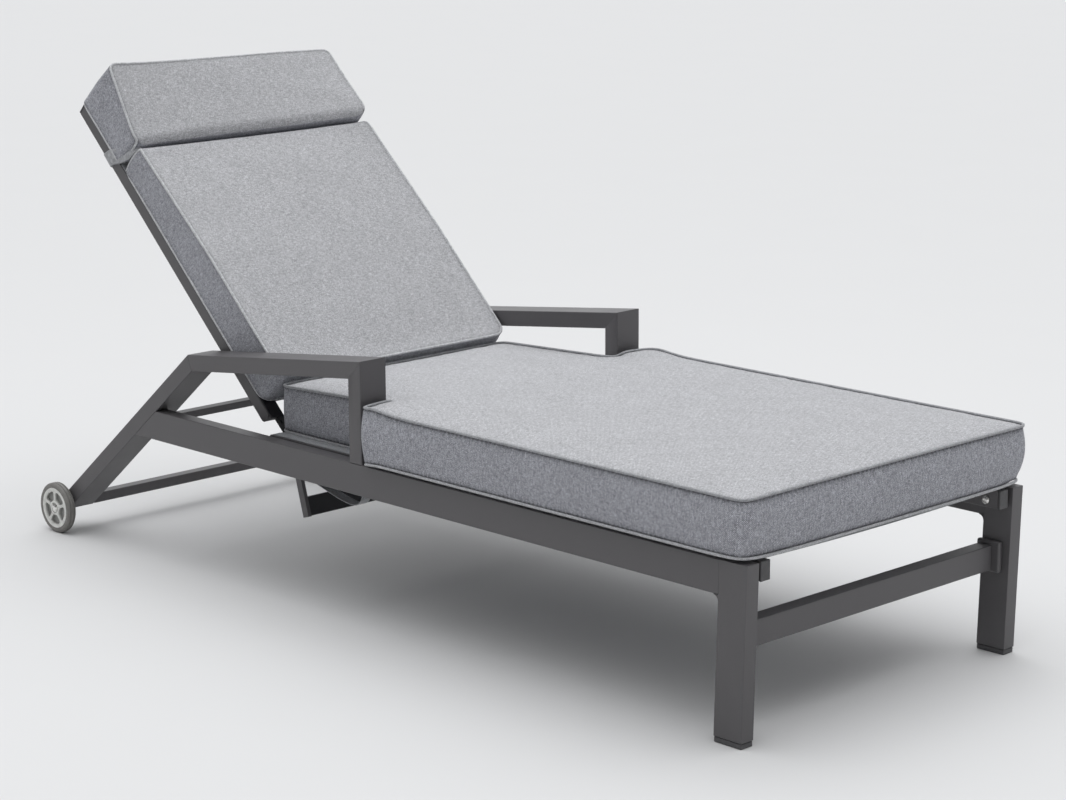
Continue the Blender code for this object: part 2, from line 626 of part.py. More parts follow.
for side_tag, side_sign in SIDES:
    front_leg(side_tag, side_sign)
    side_rail(side_tag, side_sign)
    arm_and_rear_leg(side_tag, side_sign)
    wheel(side_tag, side_sign)
cross_members()
seat_frame()
pivot()
backrest()
yoke()
seat_cushion()
back_cushions()
head_strap()
seat_tie_strap()
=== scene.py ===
import json
import math

import bpy
import numpy as np
from mathutils import Matrix, Vector, kdtree, noise


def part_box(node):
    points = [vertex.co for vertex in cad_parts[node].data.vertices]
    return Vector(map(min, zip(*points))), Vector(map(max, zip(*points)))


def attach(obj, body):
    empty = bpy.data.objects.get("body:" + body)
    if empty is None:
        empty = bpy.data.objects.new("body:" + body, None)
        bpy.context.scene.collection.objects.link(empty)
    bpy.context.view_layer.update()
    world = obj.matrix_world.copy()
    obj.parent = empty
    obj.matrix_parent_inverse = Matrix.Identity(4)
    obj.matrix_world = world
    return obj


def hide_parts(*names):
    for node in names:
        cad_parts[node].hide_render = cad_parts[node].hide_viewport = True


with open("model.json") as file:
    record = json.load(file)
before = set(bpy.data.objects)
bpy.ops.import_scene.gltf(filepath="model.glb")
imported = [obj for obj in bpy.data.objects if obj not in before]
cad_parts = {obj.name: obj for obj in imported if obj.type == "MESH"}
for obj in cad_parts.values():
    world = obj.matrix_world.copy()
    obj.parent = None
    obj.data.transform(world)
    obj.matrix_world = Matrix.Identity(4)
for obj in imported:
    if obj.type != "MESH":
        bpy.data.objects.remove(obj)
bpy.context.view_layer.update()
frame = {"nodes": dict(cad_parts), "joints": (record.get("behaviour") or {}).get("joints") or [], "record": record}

# ---------------------------------------------------------------- places taken from the frame
ROOT_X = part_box("front_leg_L")[1].x            # front faces of the front legs
ARM_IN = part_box("arm_post_R")[0].y             # inner faces of the arms
POST_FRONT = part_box("arm_post_L")[1].x
SEAT_LO, SEAT_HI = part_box("seat_cushion")
RAIL_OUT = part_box("seat_rail_R")[1].y
SEAT_RAIL_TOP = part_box("seat_rail_R")[1].z
TUBE_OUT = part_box("back_rail_R")[1].y
PIVOT = Vector(next(j for j in frame["joints"] if j["name"] == "recline")["pos_m"])
RECLINE = math.radians(44.0)                   # the backrest's slope at rest
TUBE_REAR, TUBE_FRONT = -0.0170, 0.0090        # n of the back tubes' rear and front faces

# ---------------------------------------------------------------- seat cushion
SEAT_STEP = POST_FRONT + 0.0150                # x where the cushion narrows
SEAT_HALF, SEAT_NARROW = 0.3690, 0.2895        # half widths in front of the arms and between them
SEAT_FRONT, SEAT_REAR = SEAT_HI.x - 0.0070, SEAT_LO.x - 0.0025
SEAM_HIGH, SEAM_LOW = 0.4110, 0.3170           # z of the seams of the wide part
REAR_SEAM_HIGH, REAR_SEAM_LOW = 0.3925, 0.3085   # and at the rear end, between the arms
SEAM_CLIMB = 0.042                             # slope of the upper seam between the arms
STEP_EASE = (-0.060, 0.050)                    # the height changes over this range round the step
STEP_LIFT, STEP_LIFT_REACH = 0.009, 0.060      # the top seam rises a little beside the arm posts
SEAT_CROWN = 0.006                             # how much higher the middle of the top panel is
SEAT_TUCK, TUCK_REACH = 0.0080, 0.070          # the front corners draw in lower down
SEAT_TURNS = (0.014, 0.017)                    # corner radii at the rear and front
SEAT_PUCKER, SEAT_SWELL = 0.0016, 0.0010       # unevenness along the seams and between them

# ---------------------------------------------------------------- back and head cushions (s, n)
BACK_HALF, HEAD_HALF = 0.2930, 0.2960
BACK_S = (0.0890, 0.6760)
BACK_N = (0.0135, 0.1000)
HEAD_S = (0.6790, 0.8560)
HEAD_N = (0.0110, 0.1180)
PAD_TURNS = (0.024, 0.013)                     # corner radii at the low and high end
PAD_SLACK = 0.0040                             # how far a side may stand out past its half width
PAD_PUCKER, PAD_SWELL = 0.0014, 0.0005

# ---------------------------------------------------------------- cloth
GRID = 0.0105                                  # spacing of the cloth
BAND = (0.05, 0.16, 0.32, 0.5, 0.68, 0.84, 0.95)     # rings of the band, from front to rear seam
BAND_OUT = (-0.0010, 0.0020, 0.0042, 0.0052, 0.0042, 0.0020, -0.0010)   # how far each stands out
EDGE = 0.016                                   # the band's bulge fades over this width of a panel
FILL_PRESSURE, FILL_LIMIT = 3.0, 0.010         # cloth pressure, and the furthest a point may move
SEAM_HOLD = 0.85                               # how firmly the front seam stays put
SEAM_SHADE_WIDTH = 0.0030                             # width of the painted shade line beside a seam
PIPE = 0.0026                                  # radius of the piping
YARN = 0.0031                                  # one repeat of the weave, two yarns each way
HEM = 0.022                                    # edge of a sling that lies on its rail
BACK_SLING = (0.108, 0.850)                    # s of the back sling's ends
TIE_WIDTH, HEAD_STRAP_WIDTH = 0.0220, 0.031    # widths of the two straps

# ---------------------------------------------------------------- frame details
RIM_RECESS = 0.0070                            # depth at which the painted shade in the wheel rims' pockets is darkest
SHOE_S, SHOE_IN = (0.0560, 0.1500), 0.2612     # hinge shoes: extent up the tube, inner edge
SHOE_N = (TUBE_FRONT + 0.0002, TUBE_FRONT + 0.0020)
SHOE_CHAMFER = 0.0006

# ---------------------------------------------------------------- stage
SKY_LOW, SKY_HIGH = 0.06, 2.34                 # brightness of the studio at the horizon, overhead
SKY_POWER = 2.5                                # how late the brightness rises towards overhead
BACKDROP_SIDE, BACKDROP = (-0.70, 0.68, 0.22), 0.75  # where the lit backdrop is, and how bright
FLOOR_GREY = (0.70, 0.70, 0.70)
FLOOR_HALF = 30
LAMP_AT, LAMP_TO, LAMP_SIZE, LAMP_POWER = (-0.2, 0.2, 3.4), (0.0, 0.0, 0.3), 2.2, 10.0
CAMERA_AZIMUTH, CAMERA_ELEVATION, CAMERA_ROLL = 46.098, 12.631, -0.308   # degrees
CAMERA_AT = (ROOT_X + 2.73147, -3.45126, 1.49563)
LENS, SENSOR = 92.38, 36.0


def at_back(s, y, n):
    """A point from s up the backrest, y across it and n out of its front."""
    c, d = math.cos(RECLINE), math.sin(RECLINE)
    return (PIVOT.x - s * c + n * d, y, PIVOT.z + s * d + n * c)


# ================================================================ materials
def shader(name, colour, roughness, metallic=0.0, **constant):
    """A Principled material. Values that are the same all over go straight on its sockets."""
    mat = bpy.data.materials.new(name)
    mat.use_nodes = True
    bsdf = mat.node_tree.nodes["Principled BSDF"]
    bsdf.inputs["Base Color"].default_value = (*colour, 1.0)
    bsdf.inputs["Roughness"].default_value = roughness
    bsdf.inputs["Metallic"].default_value = metallic
    for key, value in constant.items():
        bsdf.inputs[key.replace("_", " ")].default_value = value
    return mat, mat.node_tree, bsdf


def math_node(tree, kind, a, b=None, clamp=False):
    """A Math node on sockets or plain numbers."""
    node = tree.nodes.new("ShaderNodeMath")
    node.operation = kind
    node.use_clamp = clamp
    for socket, value in zip(node.inputs, (a, b)):
        if value is None:
            continue
        if isinstance(value, (int, float)):
            socket.default_value = value
        else:
            tree.links.new(value, socket)
    return node.outputs[0]


def noise_node(tree, vector, scale, detail=2.0, rough=0.5):
    """Fractal noise at a place, about 0.5 on average."""
    node = tree.nodes.new("ShaderNodeTexNoise")
    node.inputs["Scale"].default_value = scale
    node.inputs["Detail"].default_value = detail
    node.inputs["Roughness"].default_value = rough
    tree.links.new(vector, node.inputs["Vector"])
    return node.outputs["Fac"]


def remap(tree, value, lo, hi, to_lo, to_hi):
    """Maps the range lo..hi of a value on to_lo..to_hi, and clamps it."""
    node = tree.nodes.new("ShaderNodeMapRange")
    for socket, number in zip(list(node.inputs)[1:5], (lo, hi, to_lo, to_hi)):
        socket.default_value = number
    tree.links.new(value, node.inputs[0])
    return node.outputs[0]


def mix_colour(tree, factor, a, b):
    """From colour a at factor 0 to colour b at factor 1."""
    node = tree.nodes.new("ShaderNodeMix")
    node.data_type = "RGBA"
    tree.links.new(factor, node.inputs[0])
    for socket, value in ((node.inputs[6], a), (node.inputs[7], b)):
        if isinstance(value, tuple):
            socket.default_value = (*value, 1.0)
        else:
            tree.links.new(value, socket)
    return node.outputs[2]


def scale_colour(tree, colour, factor):
    """A colour made lighter or darker by a factor."""
    node = tree.nodes.new("ShaderNodeVectorMath")
    node.operation = "SCALE"
    if isinstance(colour, tuple):
        node.inputs[0].default_value = colour
    else:
        tree.links.new(colour, node.inputs[0])
    tree.links.new(factor, node.inputs["Scale"])
    return node.outputs[0]


def bump(tree, bsdf, height, distance, strength):
    """Fine relief in a material, for grain and yarns only."""
    node = tree.nodes.new("ShaderNodeBump")
    node.inputs["Distance"].default_value = distance
    node.inputs["Strength"].default_value = strength
    tree.links.new(height, node.inputs["Height"])
    tree.links.new(node.outputs[0], bsdf.inputs["Normal"])


def powder_coat(name, colour, roughness=0.42):
    """Satin powder coat: fine orange peel, a cloudy sheen and a fine grain in the colour."""
    mat, tree, bsdf = shader(name, colour, roughness, 0.0, Specular_IOR_Level=0.55)
    place = tree.nodes.new("ShaderNodeTexCoord").outputs["Object"]
    peel = noise_node(tree, place, 1400.0, 1.0)
    cloud = noise_node(tree, place, 9.0, 3.0)
    grain = noise_node(tree, place, 420.0, 2.0)
    tint = math_node(tree, "ADD", remap(tree, cloud, 0.3, 0.7, 0.93, 1.05),
                     remap(tree, grain, 0.3, 0.7, -0.03, 0.03))
    tree.links.new(scale_colour(tree, colour, tint), bsdf.inputs["Base Color"])
    tree.links.new(remap(tree, cloud, 0.3, 0.7, roughness - 0.05, roughness + 0.06),
                   bsdf.inputs["Roughness"])
    bump(tree, bsdf, peel, 0.00012, 0.35)
    return mat


def moulded(name, colour, roughness, grain_scale=900.0, depth=0.00015, shade_by=None):
    """Moulded plastic or rubber with a fine spark-eroded grain and a few paler scuffs.

    shade_by names a mesh attribute whose painted shade darkens the colour, such as the shade deep in a pocket.
    """
    mat, tree, bsdf = shader(name, colour, roughness)
    place = tree.nodes.new("ShaderNodeTexCoord").outputs["Object"]
    grain = noise_node(tree, place, grain_scale, 2.0)
    scuff = noise_node(tree, place, 60.0, 4.0, 0.7)
    tint = remap(tree, scuff, 0.35, 0.7, 0.9, 1.18)
    if shade_by:
        # painted shade: the attribute darkens the colour where it is high
        painted_shade = tree.nodes.new("ShaderNodeAttribute")
        painted_shade.attribute_name = shade_by
        shade = remap(tree, painted_shade.outputs["Fac"], 0.0, 1.0, 1.0, 0.34)
        tint = math_node(tree, "MULTIPLY", tint, shade)
    tree.links.new(scale_colour(tree, colour, tint), bsdf.inputs["Base Color"])
    tree.links.new(remap(tree, scuff, 0.3, 0.7, roughness + 0.06, roughness - 0.06),
                   bsdf.inputs["Roughness"])
    bump(tree, bsdf, grain, depth, 0.5)
    return mat


def plated_steel(name, colour, roughness):
    """Zinc-plated bolt: small blotches in colour and sheen, and a fine grain."""
    mat, tree, bsdf = shader(name, colour, roughness, 1.0)
    place = tree.nodes.new("ShaderNodeTexCoord").outputs["Object"]
    blotch = noise_node(tree, place, 220.0, 3.0)
    fine = noise_node(tree, place, 1600.0, 1.0)
    tree.links.new(scale_colour(tree, colour, remap(tree, blotch, 0.3, 0.7, 0.8, 1.1)),
                   bsdf.inputs["Base Color"])
    tree.links.new(remap(tree, blotch, 0.3, 0.7, roughness - 0.1, roughness + 0.15),
                   bsdf.inputs["Roughness"])
    bump(tree, bsdf, fine, 0.0001, 0.4)
    return mat


def weave(name, light, dark, pitch, depth=0.00035, melange=0.22, seam_shade=0.0):
    """Two-tone yarn weave laid along the map called weave, whose units are metres.

    Light yarn comes up in one square of the repeat and dark yarn in the next, so the cloth reads
    as small diagonal dots. Each yarn has its own shade along its length, by melange, and each
    square its own fleck. seam_shade paints shade on the cloth beside the seams: it darkens the
    cloth where the attribute seam is high.
    """
    mat, tree, bsdf = shader(name, light, 0.85, 0.0, Sheen_Weight=0.12, Sheen_Roughness=0.5,
                             Specular_IOR_Level=0.2)
    uv = tree.nodes.new("ShaderNodeUVMap")
    uv.uv_map = "weave"
    split = tree.nodes.new("ShaderNodeSeparateXYZ")
    tree.links.new(uv.outputs[0], split.inputs[0])
    across, along = (math_node(tree, "DIVIDE", split.outputs[i], pitch) for i in (0, 1))
    su = math_node(tree, "SINE", math_node(tree, "MULTIPLY", across, 2 * math.pi))
    sv = math_node(tree, "SINE", math_node(tree, "MULTIPLY", along, 2 * math.pi))
    over = math_node(tree, "MULTIPLY", su, sv)

    def yarn_shade(steps, run):
        whole = math_node(tree, "FLOOR", math_node(tree, "MULTIPLY", steps, 2.0))
        slow = math_node(tree, "MULTIPLY", run, 0.30)
        join = tree.nodes.new("ShaderNodeCombineXYZ")
        tree.links.new(whole, join.inputs[0])
        tree.links.new(slow, join.inputs[1])
        return noise_node(tree, join.outputs[0], 0.73, 1.0)

    spot = tree.nodes.new("ShaderNodeTexWhiteNoise")
    spot.noise_dimensions = "2D"
    cell = tree.nodes.new("ShaderNodeVectorMath")
    cell.operation = "FLOOR"
    grid = tree.nodes.new("ShaderNodeVectorMath")
    grid.operation = "SCALE"
    grid.inputs["Scale"].default_value = 2.0 / pitch
    tree.links.new(uv.outputs[0], grid.inputs[0])
    tree.links.new(grid.outputs[0], cell.inputs[0])
    tree.links.new(cell.outputs[0], spot.inputs["Vector"])
    fleck = remap(tree, spot.outputs["Value"], 0.0, 1.0, 1.0 - melange, 1.0 + melange)
    warp = remap(tree, yarn_shade(across, along), 0.25, 0.75, 1.0 - melange, 1.0 + melange)
    weft = remap(tree, yarn_shade(along, across), 0.25, 0.75, 1.0 - melange, 1.0 + melange)
    pick = remap(tree, over, -0.55, 0.55, 0.0, 1.0)
    colour = mix_colour(tree, pick, scale_colour(tree, dark, weft), scale_colour(tree, light, warp))
    place = tree.nodes.new("ShaderNodeTexCoord").outputs["Object"]
    cloud = remap(tree, noise_node(tree, place, 14.0, 3.0), 0.3, 0.7, 0.965, 1.035)
    colour = scale_colour(tree, scale_colour(tree, colour, cloud), fleck)
    # painted shade beside the seams
    if seam_shade:
        seam = tree.nodes.new("ShaderNodeAttribute")
        seam.attribute_name = "seam"
        colour = scale_colour(tree, colour, remap(tree, seam.outputs["Fac"], 0.0, 1.0, 1.0,
                                                  1.0 - seam_shade))
    tree.links.new(colour, bsdf.inputs["Base Color"])
    bump(tree, bsdf, over, depth, 0.6)
    return mat


COAT = powder_coat("anthracite_coat", (0.100, 0.096, 0.100))
BLACK_COAT = powder_coat("black_coat", (0.014, 0.014, 0.017), 0.38)
CAP_PLASTIC = moulded("cap_plastic", (0.078, 0.077, 0.080), 0.5)
# the rim's pockets get darker with depth: painted shade
RIM_PLASTIC = moulded("rim_plastic", (0.74, 0.74, 0.71), 0.42, shade_by="recess")
TYRE_RUBBER = moulded("tyre_rubber", (0.205, 0.198, 0.188), 0.58, 700.0, 0.0003)
STEEL = plated_steel("plated_steel", (0.85, 0.84, 0.81), 0.30)
# seam_shade: painted shade beside the seams of the cushions
CLOTH = weave("cushion_cloth", (0.58, 0.58, 0.595), (0.32, 0.323, 0.34), YARN, melange=0.26,
              seam_shade=0.55)
# a darker copy of the cushion cloth, a little bluer, for the bands round the sides: the darkening is painted shade
SHADED_BAND_CLOTH = weave("band_cloth_painted_shade", (0.48, 0.485, 0.52), (0.23, 0.235, 0.265), YARN, melange=0.33,
                   seam_shade=0.60)
# one welt cloth in three tones: this lighter one is a painted highlight, the mid and dark ones are painted shade
PIPING = weave("piping_cloth", (0.66, 0.665, 0.68), (0.46, 0.465, 0.48), YARN)
SHADED_MID_PIPING = weave("mid_piping_cloth_painted_shade", (0.53, 0.535, 0.55), (0.34, 0.345, 0.36), YARN)
SHADED_DARK_PIPING = weave("dark_piping_cloth_painted_shade", (0.44, 0.445, 0.46), (0.26, 0.265, 0.28), YARN)
STRAP = weave("strap_cloth", (0.50, 0.505, 0.52), (0.30, 0.305, 0.32), YARN * 0.7)
SLING = weave("sling_mesh", (0.52, 0.53, 0.55), (0.22, 0.225, 0.24), YARN * 0.8, 0.0006, 0.08)

NODE_MATERIALS = {
    "black_plastic": CAP_PLASTIC, "grey_aluminium": COAT, "black_steel": BLACK_COAT,
    "steel_bolt": STEEL, "grey_tyre": TYRE_RUBBER, "rim_plastic": RIM_PLASTIC,
    "sling_mesh": SLING, "cushion_fabric": CLOTH, "strap_fabric": STRAP,
}


def mark_painted_recess_shade(obj, deep):
    """Gives a wheel rim an attribute for painted shade in its pockets: 0 at its faces, 1 at a depth of deep or
    more.
    """
    y = coords(obj.data)[:, 1]
    depth = (y.max() - y.min()) / 2 - np.abs(y - (y.max() + y.min()) / 2)
    shade = obj.data.attributes.new("recess", "FLOAT", "POINT")
    shade.data.foreach_set("value", np.clip(depth / deep, 0.0, 1.0).astype(np.float32))


def dress_frame():
    """Gives each CAD node its slot's material and shades its chamfers as rounded edges."""
    for part in frame["record"]["subparts"]:
        obj = frame["nodes"][part["node"]]
        obj.data.materials.clear()
        obj.data.materials.append(NODE_MATERIALS[part["material_slot"]])
        if "custom_normal" in obj.data.attributes:
            obj.data.attributes.remove(obj.data.attributes["custom_normal"])
        weld = obj.modifiers.new("weld", "WELD")
        weld.merge_threshold = 0.00001
        if part["material_slot"] == "rim_plastic":
            # painted shade down the rim's pockets
            mark_painted_recess_shade(obj, RIM_RECESS)
        else:
            flush = obj.modifiers.new("whole_faces", "DECIMATE")
            flush.decimate_type = "DISSOLVE"
            flush.angle_limit = math.radians(0.5)
        ends = obj.modifiers.new("square_ends", "EDGE_SPLIT")
        ends.split_angle = math.radians(60.0)
        obj.data.shade_smooth()
        flat = obj.modifiers.new("flat_faces", "WEIGHTED_NORMAL")
        flat.mode = "FACE_AREA"
        flat.weight = 100
        flat.keep_sharp = True


# ================================================================ mesh helpers
def mesh_piece(name, verts, faces, uvs, material, smooth=True):
    """A mesh with its weave map: uvs has one pair for each corner of each face, in face order."""
    mesh = bpy.data.meshes.new(name)
    mesh.from_pydata([tuple(v) for v in verts], [], faces)
    layer = mesh.uv_layers.new(name="weave")
    layer.data.foreach_set("uv", np.asarray(uvs, np.float32).ravel())
    mesh.materials.append(material)
    if smooth:
        mesh.shade_smooth()
    mesh.update()
    obj = bpy.data.objects.new(name, mesh)
    bpy.context.scene.collection.objects.link(obj)
    return obj


def lines(stops, step):
    """Grid lines no further apart than step, with one on each stop."""
    made = []
    for a, b in zip(stops, stops[1:]):
        count = max(1, round((b - a) / step))
        made += [a + (b - a) * i / count for i in range(count)]
    return made + [stops[-1]]


def sweep(name, path, section, material, closed=False, up=(0.0, 0.0, 1.0)):
    """Carries a closed section of (across, out) points along a path, with flat ends.

    section may be one list, or a function of the place along the path from 0 to 1.
    """
    pts = [Vector(p) for p in path]
    count = len(pts)
    verts, faces, uvs, runs = [], [], [], []
    run, side = 0.0, None
    for i, p in enumerate(pts):
        before = pts[i - 1] if closed or i else pts[i]
        after = pts[(i + 1) % count] if closed or i < count - 1 else pts[i]
        tangent = (after - before).normalized()
        if side is None:
            side = tangent.cross(Vector(up)).normalized()
        side = (side - tangent * side.dot(tangent)).normalized()
        out = side.cross(tangent)
        shape = section(i / max(1, count - 1)) if callable(section) else section
        verts += [p + side * a + out * b for a, b in shape]
        if i:
            run += (p - pts[i - 1]).length
        runs.append(run)
    m = len(shape)
    girth = [0.0]
    for a, b in zip(shape, shape[1:] + shape[:1]):
        girth.append(girth[-1] + math.hypot(b[0] - a[0], b[1] - a[1]))
    for i in range(count if closed else count - 1):
        j = (i + 1) % count
        end = runs[j] if j else runs[i] + (pts[0] - pts[i]).length
        for k in range(m):
            q = (k + 1) % m
            faces.append((i * m + k, i * m + q, j * m + q, j * m + k))
            uvs += [(girth[k], runs[i]), (girth[k + 1], runs[i]), (girth[k + 1], end),
                    (girth[k], end)]
    if not closed:
        last = (count - 1) * m
        faces += [tuple(range(m))[::-1], tuple(range(last, last + m))]
        uvs += [(0.0, 0.0)] * (2 * m)
    return mesh_piece(name, verts, faces, uvs, material)


def round_section(radius, sides=8):
    """A circle as a section for sweep."""
    return [(radius * math.cos(2 * math.pi * k / sides), radius * math.sin(2 * math.pi * k / sides))
            for k in range(sides)]


def turn_corner(u, v, cu, cv, radius):
    """Moves a point of the square zone at a corner so that the corner becomes an arc."""
    du, dv = (u - cu) / radius, (v - cv) / radius
    return (cu + radius * du * math.sqrt(1 - dv * dv / 2),
            cv + radius * dv * math.sqrt(1 - du * du / 2))


# ================================================================ cushions
def cushion_cage(name, u_stops, v_stops, inside, corners, shape, rings):
    """Two panels and a band between them, as one closed cloth.

    u and v run along and across the panels. inside(u, v) says which cells exist, corners are
    (u, v, radius) where the outline turns, and shape(u, v, t) gives the point: t is 0 on the front
    panel and 1 on the rear one. Returns the object, the vertex numbers of every ring, front to
    rear and each in order round the outline, that outline as grid places, and the vertex numbers
    of the rear panel.
    """
    us, vs = lines(u_stops, GRID), lines(v_stops, GRID)
    cells = [(i, j) for i in range(len(us) - 1) for j in range(len(vs) - 1)
             if inside((us[i] + us[i + 1]) / 2, (vs[j] + vs[j + 1]) / 2)]

    def arc_start(value, stops, radius):
        return value - math.copysign(radius, value - (stops[0] + stops[-1]) / 2)

    def rounded(i, j):
        u, v = us[i], vs[j]
        for cu, cv, radius in corners:
            if max(abs(u - cu), abs(v - cv)) <= radius + 1e-9:
                return turn_corner(u, v, arc_start(cu, u_stops, radius),
                                   arc_start(cv, v_stops, radius), radius)
        return u, v

    flat, edges = {}, {}
    for i, j in cells:
        loop = [(i, j), (i + 1, j), (i + 1, j + 1), (i, j + 1)]
        for key in loop:
            flat.setdefault(key, rounded(*key))
        for a, b in zip(loop, loop[1:] + loop[:1]):
            if edges.pop((b, a), None) is None:
                edges[(a, b)] = True
    follow = {a: b for a, b in edges}
    start = min(follow)
    outline = [start]
    while follow[outline[-1]] != start:
        outline.append(follow[outline[-1]])

    keys = list(flat)
    index = {key: n for n, key in enumerate(keys)}
    verts = [shape(*flat[key], 0.0) for key in keys]
    loops = [[index[key] for key in outline]]
    for t in rings:
        loops.append([len(verts) + n for n in range(len(outline))])
        verts += [shape(*flat[key], t) for key in outline]
    rear = {}
    for key in keys:
        rear[key] = len(verts)
        verts.append(shape(*flat[key], 1.0))
    loops.append([rear[key] for key in outline])

    faces, uvs = [], []
    for i, j in cells:
        loop = [(i, j), (i + 1, j), (i + 1, j + 1), (i, j + 1)]
        faces.append([index[key] for key in loop])
        uvs += [(us[a], vs[b]) for a, b in loop]
        faces.append([rear[key] for key in reversed(loop)])
        uvs += [(us[a], vs[b]) for a, b in reversed(loop)]
    run = [0.0]
    closed = outline + outline[:1]
    for a, b in zip(closed, closed[1:]):
        run.append(run[-1] + math.dist(flat[a], flat[b]))
    depth = [0.0]
    for a, b in zip(loops, loops[1:]):
        depth.append(depth[-1] + math.dist(verts[a[0]], verts[b[0]]))
    count = len(outline)
    panels = len(faces)
    for r in range(len(loops) - 1):
        for n in range(count):
            m = (n + 1) % count
            faces.append([loops[r][m], loops[r][n], loops[r + 1][n], loops[r + 1][m]])
            uvs += [(run[n + 1], depth[r]), (run[n], depth[r]), (run[n], depth[r + 1]),
                    (run[n + 1], depth[r + 1])]
    obj = mesh_piece(name, verts, faces, uvs, CLOTH)
    # the band takes the darker copy of the cloth: painted shade on the cushion's sides
    obj.data.materials.append(SHADED_BAND_CLOTH)
    obj.data.polygons.foreach_set("material_index", [int(n >= panels) for n in range(len(faces))])
    return obj, loops, outline, list(rear.values())


def averaged(mesh, values, times):
    """Evens out one value per vertex with its neighbours' values."""
    ends = np.zeros(len(mesh.edges) * 2, np.int32)
    mesh.edges.foreach_get("vertices", ends)
    ends = ends.reshape(-1, 2)
    degree = np.bincount(ends.ravel(), minlength=len(values))[:, None]
    for _ in range(times):
        total = np.zeros_like(values)
        np.add.at(total, ends[:, 0], values[ends[:, 1]])
        np.add.at(total, ends[:, 1], values[ends[:, 0]])
        values = 0.4 * values + 0.6 * total / degree
    return values


def inflate(obj, rear, seam, calm=0, frames=18):
    """Blows the cover up a little with a cloth simulation, made real.

    The rear panel stays put and the front seam nearly does. calm is how many times the move is
    evened out, for a cover with few wrinkles.
    """
    mesh = obj.data
    count = len(mesh.vertices)
    before = np.zeros(count * 3)
    mesh.vertices.foreach_get("co", before)
    before = before.reshape(-1, 3)
    group = obj.vertex_groups.new(name="held")
    group.add(rear, 1.0, "REPLACE")
    group.add(seam, SEAM_HOLD, "REPLACE")
    cloth = obj.modifiers.new("cloth", "CLOTH")
    settings = cloth.settings
    settings.quality = 5
    settings.mass = 0.4
    settings.tension_stiffness = settings.compression_stiffness = 25.0
    settings.shear_stiffness = 12.0
    settings.bending_stiffness = 1.5
    settings.use_pressure = True
    settings.uniform_pressure_force = FILL_PRESSURE
    settings.effector_weights.gravity = 0.0
    settings.vertex_group_mass = "held"
    settings.pin_stiffness = 1.0
    cloth.collision_settings.use_collision = False
    cloth.collision_settings.use_self_collision = False
    scene = bpy.context.scene
    cloth.point_cache.frame_start = 1
    cloth.point_cache.frame_end = frames + 1
    for step in range(1, frames + 1):
        scene.frame_set(step)
    graph = bpy.context.evaluated_depsgraph_get()
    moved = np.zeros(count * 3)
    obj.evaluated_get(graph).to_mesh().vertices.foreach_get("co", moved)
    obj.evaluated_get(graph).to_mesh_clear()
    obj.modifiers.remove(cloth)
    scene.frame_set(1)
    shift = averaged(mesh, moved.reshape(-1, 3) - before, calm)
    size = np.linalg.norm(shift, axis=1)
    # a soft cap: the larger the move, the more of it is held back
    shift *= (FILL_LIMIT * np.tanh(size / FILL_LIMIT) / np.maximum(size, 1e-9))[:, None]
    mesh.vertices.foreach_set("co", (before + shift).ravel())
    mesh.update()


def coords(mesh):
    """The mesh's points, as an array."""
    co = np.zeros(len(mesh.vertices) * 3)
    mesh.vertices.foreach_get("co", co)
    return co.reshape(-1, 3)


def normals(mesh):
    """The mesh's normals at its points, as an array."""
    no = np.zeros(len(mesh.vertices) * 3, np.float32)
    mesh.vertices.foreach_get("normal", no)
    return no.reshape(-1, 3).astype(float)


def refine(obj):
    """One subdivision, made real."""
    mod = obj.modifiers.new("finer", "SUBSURF")
    mod.levels = mod.render_levels = 1
    graph = bpy.context.evaluated_depsgraph_get()
    mesh = bpy.data.meshes.new_from_object(obj.evaluated_get(graph))
    obj.modifiers.remove(mod)
    old = obj.data
    obj.data = mesh
    bpy.data.meshes.remove(old)
    mesh.name = obj.name


def seam_distance(points, seam_points):
    """Each point's distance to the nearest seam point, and which one that is."""
    tree = kdtree.KDTree(len(seam_points))
    for n, p in enumerate(seam_points):
        tree.insert(Vector(p), n)
    tree.balance()
    found = [tree.find(Vector(p)) for p in points]
    return np.array([f[2] for f in found]), np.array([f[1] for f in found])


def settle(obj, seams, pucker, swell, seed):
    """Small unevenness of a filled cover: puckers along the seams and slow dips between them."""
    mesh = obj.data
    co, no = coords(mesh), normals(mesh)
    distance, nearest = seam_distance(co, seams)
    near = np.exp(-distance / 0.022)
    offset = Vector((seed * 3.7, seed * 1.9, seed * 5.3))
    lift = np.zeros(len(co))
    for n, p in enumerate(co):
        q = Vector(p)
        slow = noise.noise(q * 7.0 + offset) + 0.5 * noise.noise(q * 17.0 + offset)
        quick = noise.noise(Vector(seams[nearest[n]]) * 42.0 + offset)
        lift[n] = swell * slow * (1.0 - near[n]) + pucker * quick * near[n] * min(
            1.0, distance[n] / 0.006)
    co += no * lift[:, None]
    mesh.vertices.foreach_set("co", co.ravel())
    # the attribute seam carries painted shade beside the seams, for the weave materials
    shade = mesh.attributes.new("seam", "FLOAT", "POINT")
    beside = np.exp(-np.maximum(distance - SEAM_SHADE_WIDTH, 0.0) / SEAM_SHADE_WIDTH)
    shade.data.foreach_set("value", beside.astype(np.float32))
    mesh.update()


def smooth_path(points, closed, times=2):
    """Takes the small kinks out of a line of points."""
    pts = np.array(points, float)
    for _ in range(times):
        if closed:
            pts = 0.5 * pts + 0.25 * (np.roll(pts, 1, 0) + np.roll(pts, -1, 0))
        else:
            inner = 0.5 * pts[1:-1] + 0.25 * (pts[:-2] + pts[2:])
            pts = np.vstack([pts[:1], inner, pts[-1:]])
    return pts


